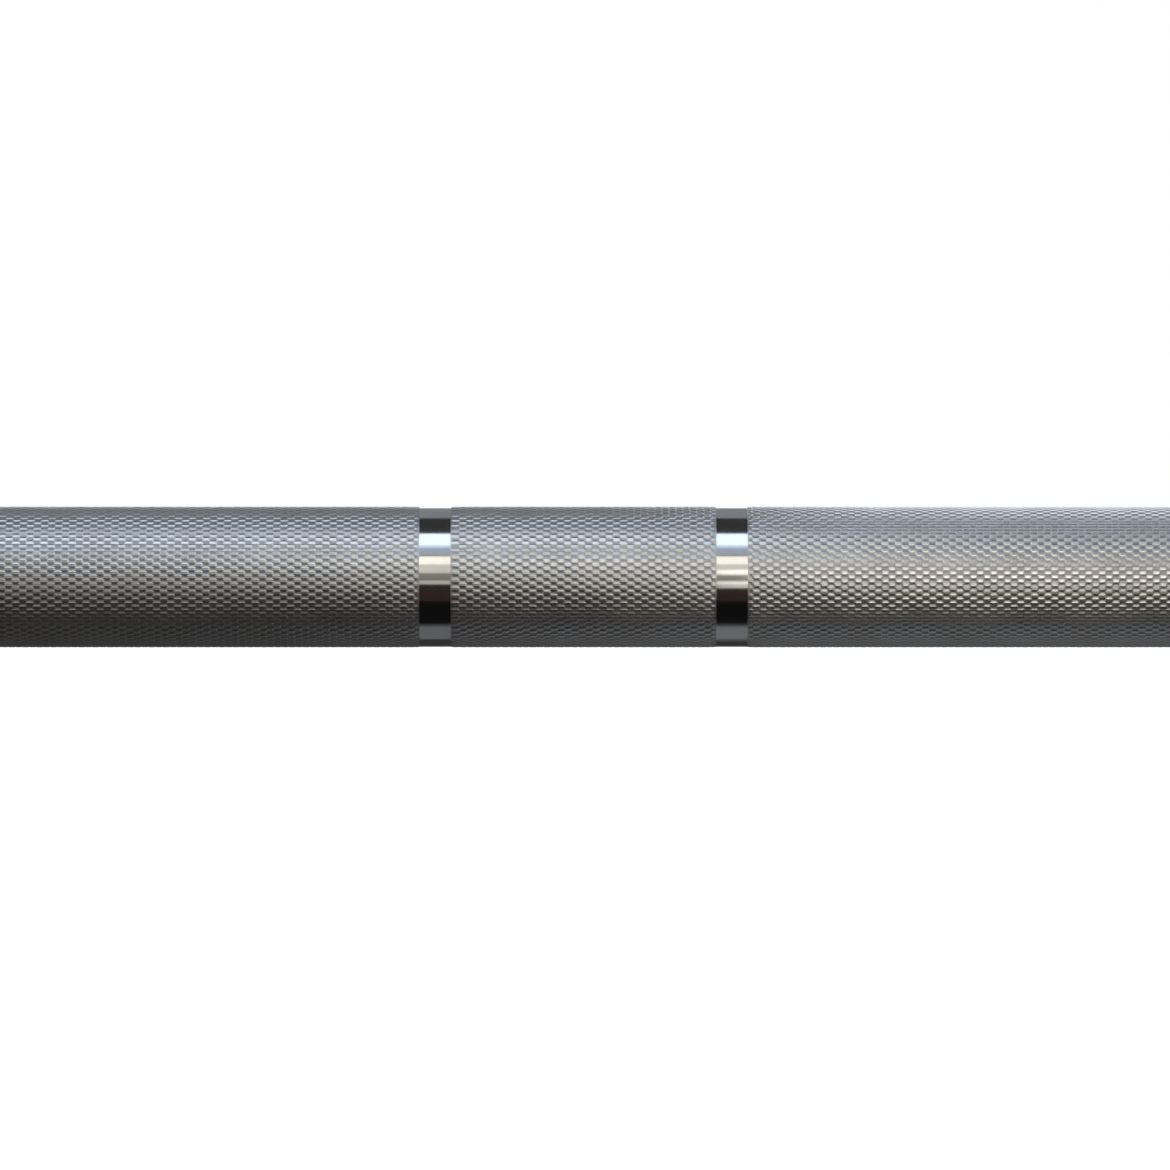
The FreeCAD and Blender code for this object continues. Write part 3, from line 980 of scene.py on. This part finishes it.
@dataclass
class Sleeve:
    """One turning end: the tube that plates slide on, its collar and its end cap."""

    side: Side
    radius: float = 25 * MM
    seat_radius: float = 23 * MM
    seat_length: float = 27 * MM
    undercut_radius: float = 24.5 * MM
    end_chamfer: float = 2 * MM
    edge: float = 0.5 * MM
    bore_radius: float = 16 * MM
    middle_bore_radius: float = 13.5 * MM
    counterbore_radius: float = 18 * MM
    inner_flange: float = 11.6 * MM
    middle_bore: Range = (74.6 * MM, 332 * MM)
    outer_flange: float = 395 * MM
    cap_bore_radius: float = 19.5 * MM
    cap_seat: float = 434.15 * MM
    cap_groove: Range = (440.15 * MM, 442 * MM)
    cap_groove_radius: float = 20.6 * MM
    collar_radius: float = 37.5 * MM
    collar_width: float = 30 * MM
    collar_recess_radius: float = 25.1 * MM
    collar_inboard_round: float = 5 * MM
    collar_outboard_round: float = 2 * MM
    seam_round: float = 0.35 * MM
    cap_radius: float = 19.45 * MM
    cap_inside: float = 16.45 * MM
    cap_plate: float = 3 * MM
    cap_edge: float = 0.6 * MM
    dish_radius: float = 12.95 * MM
    dish_depth: float = 0.8 * MM

    @property
    def length(self) -> float:
        """Length of the tube, from the frame."""
        low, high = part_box(f"{self.side.word}_sleeve_tube")
        return high.x - low.x

    def on_bar(self, outline: np.ndarray) -> np.ndarray:
        """An outline measured from the sleeve's inner face, moved to its place on the bar.

        Args:
            outline: points (distance outwards from the inner face, radius).

        Returns:
            Points (along the bar, radius).
        """
        low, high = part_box(f"{self.side.word}_sleeve_tube")
        face = min(abs(low.x), abs(high.x))
        return (outline + (face, 0)) * (self.side.value, 1)

    def tube_outline(self) -> np.ndarray:
        """The tube: a seat for the collar, the plates' surface, and a bore stepped from both ends.

        Returns:
            Points (distance outwards from the inner face, radius).
        """
        length, edge = self.length, self.edge
        groove_start, groove_end = self.cap_groove
        middle_start, middle_end = self.middle_bore
        return rounded([
            (0, self.counterbore_radius + edge, 0),
            (0, self.seat_radius - edge, 0),
            (edge, self.seat_radius, 0),
            (self.seat_length, self.seat_radius, 0),
            (self.seat_length, self.undercut_radius, 0),
            (self.collar_width, self.undercut_radius, 0),
            (self.collar_width, self.radius, 0),
            (length - self.end_chamfer, self.radius, edge),
            (length, self.radius - self.end_chamfer, edge),
            (length, self.cap_bore_radius + edge, 0),
            (length - edge, self.cap_bore_radius, 0),
            (groove_end, self.cap_bore_radius, 0),
            (groove_end, self.cap_groove_radius, 0),
            (groove_start, self.cap_groove_radius, 0),
            (groove_start, self.cap_bore_radius, 0),
            (self.cap_seat, self.cap_bore_radius, 0),
            (self.cap_seat, self.counterbore_radius, 0),
            (self.outer_flange, self.counterbore_radius, 0),
            (self.outer_flange, self.bore_radius, 0),
            (middle_end, self.bore_radius, 0),
            (middle_end, self.middle_bore_radius, 0),
            (middle_start, self.middle_bore_radius, 0),
            (middle_start, self.bore_radius, 0),
            (self.inner_flange, self.bore_radius, 0),
            (self.inner_flange, self.counterbore_radius, 0),
            (edge, self.counterbore_radius, 0),
        ])

    def collar_outline(self) -> np.ndarray:
        """The collar: a ring rounded towards the grip and nearly square towards the plates.

        Returns:
            Points (distance outwards from the inner face, radius).
        """
        return rounded([
            (0, self.seat_radius, self.seam_round),
            (0, self.collar_radius, self.collar_inboard_round),
            (self.collar_width, self.collar_radius, self.collar_outboard_round),
            (self.collar_width, self.collar_recess_radius, self.seam_round),
            (self.seat_length, self.collar_recess_radius, 0),
            (self.seat_length, self.seat_radius, 0),
        ])

    def cap_outline(self) -> np.ndarray:
        """The cap: a shallow cup whose closed face is dished in the middle.

        Returns:
            Points (distance outwards from the inner face, radius), from axis to axis.
        """
        face = self.cap_groove[0]
        back = face - self.cap_plate
        floor = face - self.dish_depth
        return rounded([
            (back, 0, 0),
            (back, self.cap_inside, self.edge),
            (self.cap_seat, self.cap_inside, 0),
            (self.cap_seat, self.cap_radius, 0),
            (face, self.cap_radius, self.cap_edge),
            (face, self.dish_radius, self.edge),
            (floor, self.dish_radius - self.dish_depth, self.edge),
            (floor, 0, 0),
        ])

    def build(self, tube: Finish, collar: Finish, cap: Finish) -> None:
        """Makes the three pieces.

        Args:
            tube: the tube's finish.
            collar: the collar's finish.
            cap: the cap's finish.
        """
        word = self.side.word
        body = f"{word}_sleeve"
        made = turned_ring(f"{word}_sleeve_turned", self.on_bar(self.tube_outline()))
        settle(made, body, f"{word}_sleeve_tube", tube)
        made = turned_ring(f"{word}_collar_turned", self.on_bar(self.collar_outline()))
        settle(made, body, f"{word}_collar", collar)
        made = turned_solid(f"{word}_end_cap_turned", self.on_bar(self.cap_outline()))
        settle(made, body, f"{word}_end_cap", cap)


# The studio


def hang_panel(
    name: str, size: Range, radiance: float, place: Vector, facing: Vector
) -> bpy.types.AreaLight:
    """Hangs a rectangular lamp that shows only in reflections.

    Its power is its radiance times pi times its area.

    Args:
        name: the lamp's name.
        size: its length and width.
        radiance: how bright its face is.
        place: where its middle hangs.
        facing: the direction in which it shines.

    Returns:
        The lamp.
    """
    lamp = bpy.data.lights.new(name, "AREA")
    lamp.shape = "RECTANGLE"
    lamp.size, lamp.size_y = size
    lamp.energy = radiance * math.pi * lamp.size * lamp.size_y
    hung = bpy.data.objects.new(name, lamp)
    hung.location = place
    hung.rotation_euler = facing.to_track_quat("-Z", "Y").to_euler()
    hung.visible_camera = False
    bpy.context.scene.collection.objects.link(hung)
    return lamp


@dataclass(frozen=True)
class Strip:
    """A long lamp beside the bar, seen from it between two angles above the camera's side.

    The angles and the fan of its light are in degrees. Its start and end are places along the bar.
    """

    name: str
    low: float
    high: float
    radiance: float
    colour: Tint
    start: float = -4.0
    end: float = 4.0
    distance: float = 2.0
    fan: float = 180.0

    def fan_share(self) -> float:
        """The share of an open lamp's power that keeps the radiance straight ahead the same.

        Within a fan of half angle a, the radiance falls from straight ahead to the fan's edge as
        1 - tan(t) / tan(a), and the power that is left is 1 - a / tan(a) of the open lamp's.

        Returns:
            The share, which is 1 for a fan of 180 degrees.
        """
        half = math.radians(self.fan) / 2
        return 1 - half / math.tan(half)

    def hang(self, side: Side) -> None:
        """Adds the lamp: as wide as its angles ask at its distance, and facing the bar.

        Args:
            side: the half of the bar on which its start and end are measured.
        """
        middle = math.radians((self.low + self.high) / 2)
        half = math.radians((self.high - self.low) / 2)
        size = (self.end - self.start, 2 * self.distance * math.tan(half))
        back = Vector((0, -math.cos(middle), math.sin(middle)))
        along = Vector((side.value * (self.start + self.end) / 2, 0, 0))
        name = f"{side.word}_{self.name}"
        lamp = hang_panel(name, size, self.radiance, back * self.distance + along, -back)
        lamp.color = self.colour
        lamp.spread = math.radians(self.fan)
        lamp.energy *= self.fan_share()


COOL: Tint = (0.72, 0.84, 1.0)
PALE_COOL: Tint = (0.86, 0.92, 1.0)
WARM: Tint = (1.0, 0.94, 0.82)
NEUTRAL: Tint = (1.0, 1.0, 1.0)
BROWN: Tint = (1.0, 0.55, 0.5)
NEAR = 0.16  # distance of a near lamp from the bar's axis
FAN = 100  # of a near lamp that would otherwise show in the sleeves


@dataclass
class Studio:
    """A white room with long soft lamps, and the camera."""

    sight: Vector = Vector((0.4289, 0, -1.6 * MM))
    camera_distance: float = 2.4
    view_width: float = 233.4 * MM
    sensor: float = 36.0
    floor_half: float = 60.0
    floor_colour: Colour = (0.85, 0.85, 0.85, 1)
    floor_roughness: float = 0.9
    floor_glow: float = 0.78
    room_for_glossy: float = 0.005
    room_for_diffuse: float = 0.45
    end_panel_size: Range = (6.0, 5.0)
    end_panel_distance: float = 3.4
    end_panel_height: float = 2.0
    end_panel_radiance: float = 0.4
    strips: tuple[Strip, ...] = (
        Strip("top_shade", 77, 113, 0.03, NEUTRAL),
        Strip("cool_box", 49, 75, 0.78, COOL),
        Strip("cool_step", 35, 49, 0.20, COOL),
        Strip("warm_ground", -4, 35, 0.22, WARM),
        Strip("brown_shade", -40, -15, 0.025, BROWN),
        Strip("back_box", 113, 158, 0.26, PALE_COOL),
        Strip("back_line", 158, 178, 2.4, PALE_COOL),
        Strip("under_box", -125, -84, 0.05, NEUTRAL),
        Strip("under_edge", -160, -125, 0.03, NEUTRAL),
        Strip("low_back", -180, -160, 0.30, NEUTRAL),
    )
    near_strips: tuple[Strip, ...] = (
        Strip("near_cool", 51, 73.5, 0.8, COOL, 0.04, 0.471, NEAR),
        Strip("near_step", 35, 49, 0.32, COOL, 0.34, 0.471, NEAR),
        Strip("near_inner_step", 35, 49, 0.46, COOL, 0.04, 0.34, NEAR),
        Strip("near_warm_high", 20, 32.5, 1.1, WARM, 0.368, 0.475, NEAR),
        Strip("near_warm_middle", 6, 20, 0.50, WARM, 0.380, 0.52, NEAR),
        Strip("near_warm_outer", -2, 12, 1.65, WARM, 0.470, 0.60, NEAR, FAN),
        Strip("near_warm_inner", -18, -1, 0.30, WARM, 0.04, 0.37, NEAR),
        Strip("near_warm_line", -11.5, -5, 0.50, WARM, 0.380, 0.471, NEAR),
        Strip("near_mark_glow", 3, 10.5, 1.0, WARM, 0.455, 0.470, NEAR),
        Strip("near_mark_line", -17.5, -7.5, 0.65, WARM, 0.455, 0.471, NEAR),
        Strip("near_warm_low", -13, -2, 1.95, WARM, 0.471, 0.63, NEAR, FAN),
        Strip("near_back", 108, 145, 1.2, PALE_COOL, 0.471, 0.63, NEAR, FAN),
        Strip("near_under", -120, -86, 0.09, PALE_COOL, 0.389, 0.63, NEAR),
        Strip("near_outer_under", -130, -86, 0.045, PALE_COOL, 0.44, 0.63, NEAR),
        Strip("sleeve_top", 82, 110, 0.16, NEUTRAL, 0.70, 1.13, NEAR),
        Strip("sleeve_under", -150, -60, 0.10, NEUTRAL, 0.70, 1.13, NEAR),
    )

    def build(self) -> None:
        """Sets the room, the lamps and the camera."""
        bpy.context.scene.view_settings.view_transform = "Standard"
        self.paint_room()
        self.lay_floor()
        for strip in self.strips:
            strip.hang(Side.RIGHT)
        for side in Side:
            for strip in self.near_strips:
                strip.hang(side)
            self.hang_end_panel(side)
        self.set_camera()

    def paint_room(self) -> None:
        """A room that is white to the camera and dim in the chrome."""
        world = bpy.data.worlds.new("white_room")
        world.use_nodes = True
        bpy.context.scene.world = world
        graph = Graph(world.node_tree)
        seen = graph.node("ShaderNodeLightPath", output="Is Camera Ray")
        glossy = graph.node("ShaderNodeLightPath", output="Is Glossy Ray")
        diffuse = graph.node("ShaderNodeLightPath", output="Is Diffuse Ray")
        strength = seen + glossy * self.room_for_glossy + diffuse * self.room_for_diffuse
        inputs = {"Color": WHITE, "Strength": strength}
        light = graph.node("ShaderNodeBackground", inputs=inputs)
        graph.node("ShaderNodeOutputWorld", inputs={"Surface": light})

    def lay_floor(self) -> None:
        """A pale floor under the collars that glows a little, so that it stays white."""
        half, level = self.floor_half, cad_low.z
        corners = [
            (-half, -half, level),
            (half, -half, level),
            (half, half, level),
            (-half, half, level),
        ]
        mesh = bpy.data.meshes.new("floor")
        mesh.from_pydata(corners, [], [(0, 1, 2, 3)])
        floor = bpy.data.objects.new("floor", mesh)
        paint = bpy.data.materials.new("pale_floor")
        paint.use_nodes = True
        graph = Graph(paint.node_tree)
        graph.surface(
            Base_Color=self.floor_colour,
            Roughness=self.floor_roughness,
            Emission_Color=WHITE,
            Emission_Strength=self.floor_glow,
        )
        mesh.materials.append(paint)
        floor.visible_glossy = False
        floor.visible_shadow = False
        bpy.context.scene.collection.objects.link(floor)

    def hang_end_panel(self, side: Side) -> None:
        """Hangs a broad dim panel past one end of the bar.

        Args:
            side: the end.
        """
        name = f"{side.word}_end_panel"
        place = Vector((side.value * self.end_panel_distance, 0, self.end_panel_height))
        facing = Vector((-side.value, 0, 0))
        hang_panel(name, self.end_panel_size, self.end_panel_radiance, place, facing)

    def set_camera(self) -> None:
        """A level camera square to the bar, framing the marks of the right grip."""
        camera = bpy.data.objects.new("camera", bpy.data.cameras.new("camera"))
        camera.data.sensor_width = self.sensor
        camera.data.lens = self.sensor * self.camera_distance / self.view_width
        camera.location = self.sight - Vector((0, self.camera_distance, 0))
        camera.rotation_euler = (math.pi / 2, 0, 0)
        bpy.context.scene.collection.objects.link(camera)
        bpy.context.scene.camera = camera


POLISHED = PolishedChrome("polished_chrome")
COLLAR = PolishedChrome("collar_chrome_plate", roughness=0.09, haze=0.07)
KNURLED = KnurlChrome("knurl_chrome", groove_radius=13.92 * MM, crest_radius=14.03 * MM)
SLEEVE = SleeveChrome("sleeve_hard_chrome")
CAP = FacedAlloy("cap_faced_alloy")

# The finish of each material slot, for the pieces that keep the frame's own shapes.
SLOT_FINISHES: dict[str, Finish] = {
    "shaft_chrome": POLISHED,
    "collar_chrome": COLLAR,
    "sleeve_chrome": SLEEVE,
    "cap_alloy": CAP,
    "seal_rubber": SealRubber("seal_nitrile"),
    "bushing_bronze": SinteredBronze("oil_bronze"),
    "hardened_washer": TurnedSteel(
        "washer_hard_steel", (0.42, 0.41, 0.40, 1), (0.30, 0.28, 0.25, 1), 0.36
    ),
    "bearing_steel": TurnedSteel(
        "cup_drawn_steel", (0.55, 0.55, 0.55, 1), (0.42, 0.40, 0.36, 1), 0.24
    ),
    "cage_steel": TurnedSteel(
        "cage_pressed_steel", (0.34, 0.34, 0.35, 1), (0.24, 0.23, 0.21, 1), 0.42
    ),
    "needle_steel": TurnedSteel(
        "needle_ground_steel", (0.62, 0.62, 0.63, 1), (0.52, 0.50, 0.46, 1), 0.18
    ),
    "spring_steel": TurnedSteel(
        "ring_black_steel", (0.16, 0.16, 0.17, 1), (0.10, 0.10, 0.10, 1), 0.44
    ),
}


def dress_frame() -> None:
    """Gives each node that still shows the finish of its material slot."""
    for subpart in frame["record"]["subparts"]:
        node = frame["nodes"][subpart["node"]]
        if not node.hide_render:
            SLOT_FINISHES[subpart["material_slot"]].dress(node)
            log.info("%s: dressed as %s", node.name, subpart["material_slot"])


def main() -> None:
    """Builds the bar and its studio, in order."""
    logging.basicConfig(level=logging.INFO, format="%(name)s: %(message)s")
    Shaft().build(POLISHED, KNURLED)
    for side in Side:
        Sleeve(side).build(SLEEVE, COLLAR, CAP)
    dress_frame()
    Studio().build()


if __name__ == "__main__":
    main()
